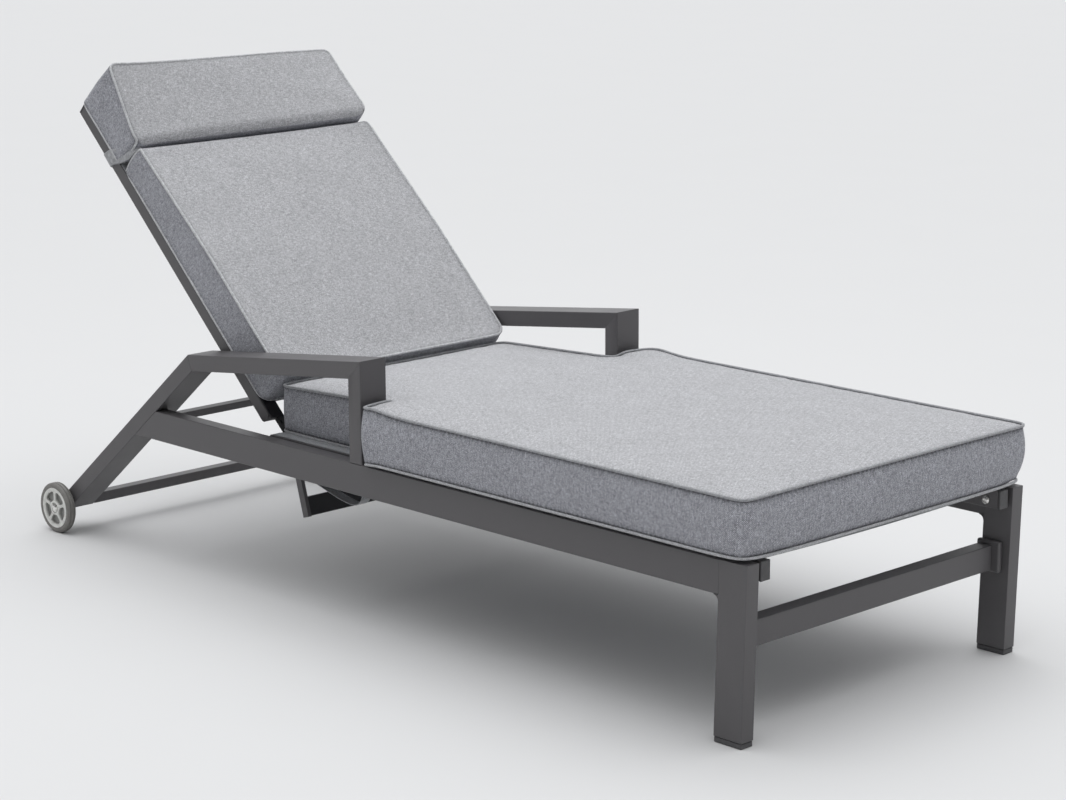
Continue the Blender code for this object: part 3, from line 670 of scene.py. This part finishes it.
def piping(name, obj, ids, closed, body, material=PIPING):
    """A round welt lying along the cushion's vertices ids, partly sunk into the seam."""
    co, no = coords(obj.data), normals(obj.data)
    path = smooth_path(co[ids] + no[ids] * PIPE * 0.75, closed)
    welt = sweep(name, path, round_section(PIPE), material, closed)
    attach(welt, body)


def finish_cushion(obj, node, body):
    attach(obj, body)
    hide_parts(node)


def band_out(t):
    """How far the band stands out between its seams."""
    return float(np.interp(t, (0.0,) + BAND + (1.0,), (0.0,) + BAND_OUT + (0.0,)))


def seat_shape(u, v, t):
    """A point of the seat cushion: along x, across it, and from the top panel to the bottom."""
    k = (u - SEAT_STEP - STEP_EASE[0]) / (STEP_EASE[1] - STEP_EASE[0])
    k = min(1.0, max(0.0, k))
    k = k * k * (3 - 2 * k)
    wide = u >= SEAT_STEP
    half = SEAT_HALF if wide else SEAT_NARROW
    lift = 0.0
    if abs(v) > SEAT_NARROW:
        lift = STEP_LIFT * math.exp(-((u - SEAT_STEP) / STEP_LIFT_REACH) ** 2)
    rear_high = REAR_SEAM_HIGH + SEAM_CLIMB * max(0.0, min(u, SEAT_STEP) - SEAT_REAR)
    high = rear_high + (SEAM_HIGH - rear_high) * k + lift * k
    low = REAR_SEAM_LOW + (SEAM_LOW - REAR_SEAM_LOW) * k
    corner = max(0.0, 1 - math.hypot(SEAT_FRONT - u, SEAT_HALF - abs(v)) / TUCK_REACH)
    tuck = SEAT_TUCK * t ** 4 * corner
    u, v = u - tuck, v - math.copysign(tuck, v)
    along = abs(u - (SEAT_FRONT + SEAT_REAR) / 2) / 0.63
    crown = max(0.0, 1 - (abs(v) / half) ** 4) * max(0.0, 1 - along ** 6)
    if t == 0.0:
        return (u, v, high + SEAT_CROWN * crown)
    if t == 1.0:      # the bottom panel lies flat on the sling
        return (u, v, low + (SEAT_LO.z + 0.0006 - low) * min(1.0, 4.0 * crown))
    out = band_out(t)
    du = dv = 0.0
    if abs(u - SEAT_FRONT) < 0.03:
        du = out * (1 - min(1.0, (SEAT_FRONT - u) / 0.03))
    if abs(u - SEAT_REAR) < 0.002:
        du = -out * 0.3
    if abs(abs(v) - half) < 0.02:
        share = 1 - (half - abs(v)) / 0.02
        dv = math.copysign(out * share * (1.0 if u > SEAT_STEP - 0.001 else 0.6), v)
    if abs(u - SEAT_STEP) < 0.012 and abs(v) > SEAT_NARROW + 0.002:
        du = -out * 0.6
    return (u + du, v + dv, high + (low - high) * t)


def seat_cushion():
    """T-shaped box cushion: the rear part is narrower and lies lower, between the arms."""
    corners = [(end, side * half, turn) for end, half, turn in
               ((SEAT_FRONT, SEAT_HALF, SEAT_TURNS[1]), (SEAT_REAR, SEAT_NARROW, SEAT_TURNS[0]))
               for side in (-1, 1)]
    obj, loops, _, rear = cushion_cage(
        "seat_cushion_cover", [SEAT_REAR, SEAT_STEP, SEAT_FRONT],
        [-SEAT_HALF, -SEAT_NARROW, SEAT_NARROW, SEAT_HALF],
        lambda u, v: u > SEAT_STEP or abs(v) < SEAT_NARROW, corners, seat_shape, BAND)
    inflate(obj, rear, loops[0])
    keep_between_arms(obj)
    seams = coords(obj.data)[loops[0] + loops[-1]]
    # the top welt in the dark tone and the bottom welt in the mid tone: painted shade
    piping("seat_piping_top", obj, loops[0], True, "frame", SHADED_DARK_PIPING)
    piping("seat_piping_bottom", obj, loops[-1], True, "frame", SHADED_MID_PIPING)
    refine(obj)
    settle(obj, seams, SEAT_PUCKER, SEAT_SWELL, 1.0)
    keep_between_arms(obj)
    finish_cushion(obj, "seat_cushion", "frame")


def keep_inside(obj, half, soft=0.003):
    """Presses the sides back to a width, softly, so that they clear the arms and rear legs."""
    co = coords(obj.data)
    over = np.abs(co[:, 1]) - (half - soft)
    pressed = half - soft * np.exp(-np.maximum(over, 0.0) / soft)
    co[:, 1] = np.where(over > 0, np.sign(co[:, 1]) * pressed, co[:, 1])
    obj.data.vertices.foreach_set("co", co.ravel())
    obj.data.update()


def keep_between_arms(obj):
    """Presses the part between the arms back to their inner faces, and the underside level."""
    co = coords(obj.data)
    narrow = co[:, 0] < POST_FRONT + 0.004
    limit = ARM_IN - 0.0012
    co[narrow, 1] = np.clip(co[narrow, 1], -limit, limit)
    co[:, 2] = np.maximum(co[:, 2], SEAT_LO.z + 0.0002)
    obj.data.vertices.foreach_set("co", co.ravel())
    obj.data.update()


def back_shape(s_range, n_range, half, slant, crown, roll_low, roll_high, lean, skew=0.0):
    """The form of a cushion on the backrest, as a function for cushion_cage.

    slant is how much further the rear panel reaches at each end, crown the height of the front
    panel's middle, roll_low and roll_high the radius by which that panel turns down at its ends,
    lean(along, across) its extra thickness, and skew how far its high end is turned.
    """
    s0, s1 = s_range
    n0, n1 = n_range

    def drop(distance, radius):
        if radius <= 0 or distance >= radius:
            return 0.0
        return radius - math.sqrt(max(0.0, radius * radius - (radius - distance) ** 2))

    def shape(s, y, t):
        along = (s - s0) / (s1 - s0)
        reach = s + t * t * slant * ((1 - along) ** 6 + along ** 6)
        reach += skew * along * y / half
        swell = max(0.0, 1 - abs(y / half) ** 4) * max(0.0, 1 - abs(2 * along - 1) ** 6)
        face = n1 + lean(along, y / half) - drop(s - s0, roll_low) - drop(s1 - s, roll_high)
        if t == 0.0:
            return at_back(reach, y, face + crown * swell)
        if t == 1.0:
            return at_back(reach, y, n0)
        out = band_out(t)
        dy = ds = 0.0
        if half - abs(y) < EDGE:
            dy = math.copysign(out * (1 - (half - abs(y)) / EDGE), y)
        if s - s0 < EDGE:
            ds = -out * (1 - (s - s0) / EDGE)
        if s1 - s < EDGE:
            ds = out * (1 - (s1 - s) / EDGE)
        return at_back(reach + ds, y + dy, face + (n0 - face) * t)

    return shape


def thin_at_top(along, across):
    """The back cushion gets thinner over its upper half, a little less on its far side."""
    return -0.0130 * max(0.0, along - 0.5) * 2 + 0.003 * (1 + across) * along


def twisted(along, across):
    """The head cushion is a wedge, thicker at its high end, and twisted a little."""
    tilt = across * (0.010 - 0.026 * along) * (0.6 + 0.4 * across * across)
    return -0.020 + 0.0242 * along + tilt


def back_pad(node, s_range, half, shape, meeting_end, calm, seed):
    """A box cushion on the backrest, with no piping along the end that meets the other one."""
    corners = [(s, side * half, r) for s, r in zip(s_range, PAD_TURNS) for side in (-1, 1)]
    obj, loops, outline, rear = cushion_cage(
        node + "_cover", list(s_range), [-half, half], lambda u, v: True, corners, shape, BAND)
    inflate(obj, rear, loops[0], calm)
    keep_inside(obj, half + PAD_SLACK)

    # the front seam from one corner of the meeting end to the other, the long way round
    count = len(outline)
    last_s, last_y = max(i for i, _ in outline), max(j for _, j in outline)
    a, b = (outline.index((meeting_end * last_s, j)) for j in (0, last_y))
    far = outline.index(((1 - meeting_end) * last_s, 0))
    step = 1 if (far - a) % count < (b - a) % count else -1
    path = [loops[0][(a + step * k) % count] for k in range((b - a) * step % count + 1)]
    down_a = [loop[a] for loop in loops[1:]][::-1]
    down_b = [loop[b] for loop in loops[1:]]
    seams = coords(obj.data)[path + down_a + down_b + loops[-1]]
    # the welts of the back and head cushions take the lighter tone: painted highlight
    piping(node + "_piping_front", obj, down_a + path + down_b, False, "backrest")
    piping(node + "_piping_rear", obj, loops[-1], True, "backrest")
    refine(obj)
    settle(obj, seams, PAD_PUCKER, PAD_SWELL, seed)
    finish_cushion(obj, node, "backrest")


def back_and_head():
    """The two cushions that ride on the backrest."""
    back = back_shape(BACK_S, BACK_N, BACK_HALF, 0.002, 0.009, 0.0, 0.008, thin_at_top)
    head = back_shape(HEAD_S, HEAD_N, HEAD_HALF, 0.014, 0.008, 0.013, 0.0, twisted, 0.006)
    back_pad("back_cushion", BACK_S, BACK_HALF, back, meeting_end=1, calm=1, seed=2.0)
    back_pad("head_cushion", HEAD_S, HEAD_HALF, head, meeting_end=0, calm=9, seed=3.0)


# ================================================================ slings and straps
def sling(name, node, body, start, end, half, place, sag):
    """Woven sling over both rails: a thin sheet that sags a little between them."""
    us = lines([start, end], 0.02)
    vs = lines([-half, -half + HEM, half - HEM, half], 0.02)
    verts, faces, uvs = [], [], []
    for u in us:
        for v in vs:
            k = min(1.0, (half - abs(v)) / HEM)
            verts.append(place(u, v, -sag * k * (1 - (v / half) ** 2)))
    m = len(vs)
    for i in range(len(us) - 1):
        for j in range(m - 1):
            faces.append((i * m + j, (i + 1) * m + j, (i + 1) * m + j + 1, i * m + j + 1))
            uvs += [(us[i], vs[j]), (us[i + 1], vs[j]), (us[i + 1], vs[j + 1]), (us[i], vs[j + 1])]
    obj = mesh_piece(name, verts, faces, uvs, SLING)
    thick = obj.modifiers.new("cloth_thickness", "SOLIDIFY")
    thick.thickness = 0.0010
    thick.offset = 0.0
    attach(obj, body)
    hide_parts(node)
    return obj


def slings():
    """The seat sling over the seat rails, and the back sling over the back tubes."""
    rear, front = (corner.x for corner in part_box("seat_sling"))
    top, half = SEAT_RAIL_TOP + 0.0008, RAIL_OUT - 0.0030
    seat = sling("seat_sling_cloth", "seat_sling", "frame", rear, front, half,
                 lambda u, v, w: (u, v, top + w), 0.0045)
    level, half = TUBE_FRONT + 0.0008, TUBE_OUT - 0.0020
    back = sling("back_sling_cloth", "back_sling", "backrest", *BACK_SLING, half,
                 lambda u, v, w: at_back(u, v, level + w), 0.0040)


def ribbon_section(width, thickness):
    """A flat band, with points a little in from each edge so that the edges can be thicker."""
    w, e, h = width / 2, width / 2 - 0.0030, thickness / 2
    return [(-w, -h), (-e, -h), (e, -h), (w, -h), (w, h), (e, h), (-e, h), (-w, h)]


def spline(points, count):
    """A smooth line through the points (Catmull-Rom), with about even spacing."""
    pts = [Vector(p) for p in points]
    pts = [pts[0] * 2 - pts[1]] + pts + [pts[-1] * 2 - pts[-2]]
    dense = []
    for i in range(1, len(pts) - 2):
        a, b, c, d = pts[i - 1:i + 3]
        for k in range(16):
            t = k / 16
            dense.append(0.5 * (2 * b + (c - a) * t + (2 * a - 5 * b + 4 * c - d) * t * t
                                + (3 * b - a - 3 * c + d) * t ** 3))
    dense.append(pts[-2])
    run = [0.0]
    for a, b in zip(dense, dense[1:]):
        run.append(run[-1] + (b - a).length)
    marks = np.linspace(0.0, run[-1], count)
    cols = [np.interp(marks, run, [p[k] for p in dense]) for k in range(3)]
    return [Vector(p) for p in zip(*cols)], run[-1]


def tie_strap():
    """Slack loop under the seat cushion, along the same line as its solid."""
    tie = [(-1.1780, 0.2985), (-1.1740, 0.2690), (-1.1640, 0.2430), (-1.1430, 0.2265),
           (-1.1100, 0.2160), (-1.0650, 0.2050), (-1.0300, 0.2010), (-1.0100, 0.2080),
           (-1.0010, 0.2285), (-0.9980, 0.2655), (-0.9970, 0.2985)]
    y = sum(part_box("seat_tie_strap")[k].y for k in (0, 1)) / 2
    path, length = spline([(ROOT_X + x, y, z) for x, z in tie], 60)
    obj = sweep("seat_tie_ribbon", path, ribbon_section(TIE_WIDTH, 0.0014), STRAP)
    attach(obj, "frame")
    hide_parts("seat_tie_strap")


def head_strap():
    """Behind the frame, round the outside of each tube, and up to the crease of the cushions."""
    off = 0.0012
    rear, edge = TUBE_REAR - off, TUBE_OUT + off
    half = [(0.727, 0.0), (0.727, 0.10), (0.727, 0.20), (0.727, 0.270), (0.727, edge - 0.004)]
    side = [(0.7260, 0.0000, rear + 0.004), (0.7210, 0.0008, 0.000), (0.7130, 0.0012, 0.012),
            (0.7040, 0.0014, 0.024), (0.6960, 0.0012, 0.036), (0.6890, 0.0006, 0.050),
            (0.6850, -0.0040, 0.066), (0.6830, -0.0140, 0.074)]
    half = [(s, y, rear) for s, y in half] + [(s, edge + y, n) for s, y, n in side]
    full = [(s, -y, n) for s, y, n in half[:0:-1]] + half
    path, length = spline([at_back(*p) for p in full], 160)
    strap = head_ribbon(path)
    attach(strap, "backrest")
    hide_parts("head_strap")


def head_ribbon(path):
    """The strap's width lies along the tube, and it is narrower and gathered at its ends."""
    up_back = Vector(at_back(1.0, 0.0, 0.0)) - Vector(at_back(0.0, 0.0, 0.0))
    verts, faces, uvs = [], [], []
    count = len(path)
    for i, p in enumerate(path):
        t = i / (count - 1)
        end = abs(2 * t - 1)
        after, before = path[min(i + 1, count - 1)], path[max(i - 1, 0)]
        tangent = (after - before).normalized()
        wide = (up_back - tangent * up_back.dot(tangent)).normalized()
        thick = tangent.cross(wide)
        width = float(np.interp(end, (0.0, 0.83, 0.90, 1.0),
                                (HEAD_STRAP_WIDTH, HEAD_STRAP_WIDTH, 0.024, 0.014)))
        gather = 0.0010 * math.sin(90.0 * t) * max(0.0, end - 0.86) / 0.14
        for a, b in ribbon_section(width, 0.0016):
            bead = 1.9 if abs(a) > width * 0.35 else 1.0
            verts.append(p + wide * (a + gather) + thick * b * bead)
    m, across, along = 8, 0.004, 0.005       # points round the section, steps of the weave map
    for i in range(count - 1):
        for k in range(m):
            q = (k + 1) % m
            faces.append((i * m + k, i * m + q, (i + 1) * m + q, (i + 1) * m + k))
            left, low = k * across, i * along
            uvs += [(left, low), (left + across, low), (left + across, low + along),
                    (left, low + along)]
    last = (count - 1) * m
    faces += [tuple(range(m))[::-1], tuple(range(last, last + m))]
    uvs += [(0.0, 0.0)] * (2 * m)
    return mesh_piece("head_strap_ribbon", verts, faces, uvs, STRAP)


# ================================================================ hinge shoes
def hinge_shoes():
    """Black plate over the front of each back tube's foot, with its front edges chamfered."""
    outer, (n0, n1), c = TUBE_OUT - 0.0012, SHOE_N, SHOE_CHAMFER
    section = ((SHOE_IN, n0), (outer, n0), (outer, n1 - c), (outer - c, n1), (SHOE_IN + c, n1),
               (SHOE_IN, n1 - c))
    faces = [(k, (k + 1) % 6, 6 + (k + 1) % 6, 6 + k) for k in range(6)]
    faces += [tuple(range(6))[::-1], tuple(range(6, 12))]
    uvs = [(0.0, 0.0)] * sum(len(f) for f in faces)
    for tag, side in (("L", -1.0), ("R", 1.0)):
        verts = [at_back(s, side * y, n) for s in SHOE_S for y, n in section]
        outward = faces if side > 0 else [f[::-1] for f in faces]
        shoe = mesh_piece("hinge_shoe_" + tag, verts, outward, uvs, BLACK_COAT, smooth=False)
        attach(shoe, "backrest")


# ================================================================ stage
def stage():
    """Pale floor, a studio sky that is brightest overhead, and one large soft lamp."""
    mat, tree, bsdf = shader("floor_paper", FLOOR_GREY, 0.9)
    place = tree.nodes.new("ShaderNodeTexCoord").outputs["Object"]
    tint = remap(tree, noise_node(tree, place, 3.0, 2.0), 0.3, 0.7, 0.995, 1.0)
    tree.links.new(scale_colour(tree, FLOOR_GREY, tint), bsdf.inputs["Base Color"])
    mesh = bpy.data.meshes.new("floor")
    square = [(x * FLOOR_HALF, y * FLOOR_HALF, 0) for x, y in ((-1, -1), (1, -1), (1, 1), (-1, 1))]
    mesh.from_pydata(square, [], [(0, 1, 2, 3)])
    mesh.materials.append(mat)
    floor = bpy.data.objects.new("floor", mesh)
    bpy.context.scene.collection.objects.link(floor)

    scene = bpy.context.scene
    scene.view_settings.view_transform = "Standard"
    world = bpy.data.worlds.new("studio")
    world.use_nodes = True
    sky = world.node_tree
    sky.nodes["Background"].inputs["Color"].default_value = (0.975, 0.985, 1.0, 1.0)
    height = sky.nodes.new("ShaderNodeSeparateXYZ")
    direction = sky.nodes.new("ShaderNodeTexCoord").outputs["Generated"]
    sky.links.new(direction, height.inputs[0])
    overhead = math_node(sky, "POWER", math_node(sky, "MAXIMUM", height.outputs[2], 0.0), SKY_POWER)
    toward = sky.nodes.new("ShaderNodeVectorMath")
    toward.operation = "DOT_PRODUCT"
    toward.inputs[1].default_value = BACKDROP_SIDE
    sky.links.new(direction, toward.inputs[0])
    facing = math_node(sky, "MAXIMUM", toward.outputs["Value"], 0.0)
    backdrop = math_node(sky, "POWER", facing, 5.0)
    glow = math_node(sky, "ADD", remap(sky, overhead, 0.0, 1.0, SKY_LOW, SKY_HIGH),
                     remap(sky, backdrop, 0.0, 1.0, 0.0, BACKDROP))
    sky.links.new(glow, sky.nodes["Background"].inputs["Strength"])
    scene.world = world
    lamp = bpy.data.lights.new("top_light", "AREA")
    lamp.size, lamp.energy = LAMP_SIZE, LAMP_POWER
    obj = bpy.data.objects.new("top_light", lamp)
    obj.location = LAMP_AT
    aim = Vector(LAMP_TO) - Vector(LAMP_AT)
    obj.rotation_euler = aim.to_track_quat("-Z", "Y").to_euler()
    scene.collection.objects.link(obj)


def camera():
    """Three-quarter view from the foot end, a little above the cushions, with a long lens."""
    azimuth, elevation, roll = (math.radians(a) for a in
                                (CAMERA_AZIMUTH, CAMERA_ELEVATION, CAMERA_ROLL))
    level = math.cos(elevation)
    back = Vector((math.sin(azimuth) * level, -math.cos(azimuth) * level, math.sin(elevation)))
    right = (-back).cross(Vector((0.0, 0.0, 1.0))).normalized()
    up = back.cross(right).normalized()
    r = right * math.cos(roll) + up * math.sin(roll)
    u = up * math.cos(roll) - right * math.sin(roll)
    data = bpy.data.cameras.new("camera")
    data.sensor_width = SENSOR
    data.sensor_fit = "HORIZONTAL"
    data.lens = LENS
    obj = bpy.data.objects.new("camera", data)
    axes = Matrix((r, u, back)).transposed().to_4x4()
    obj.matrix_world = Matrix.Translation(CAMERA_AT) @ axes
    bpy.context.scene.collection.objects.link(obj)
    bpy.context.scene.camera = obj


camera()
stage()
dress_frame()
seat_cushion()
back_and_head()
slings()
tie_strap()
head_strap()
hinge_shoes()
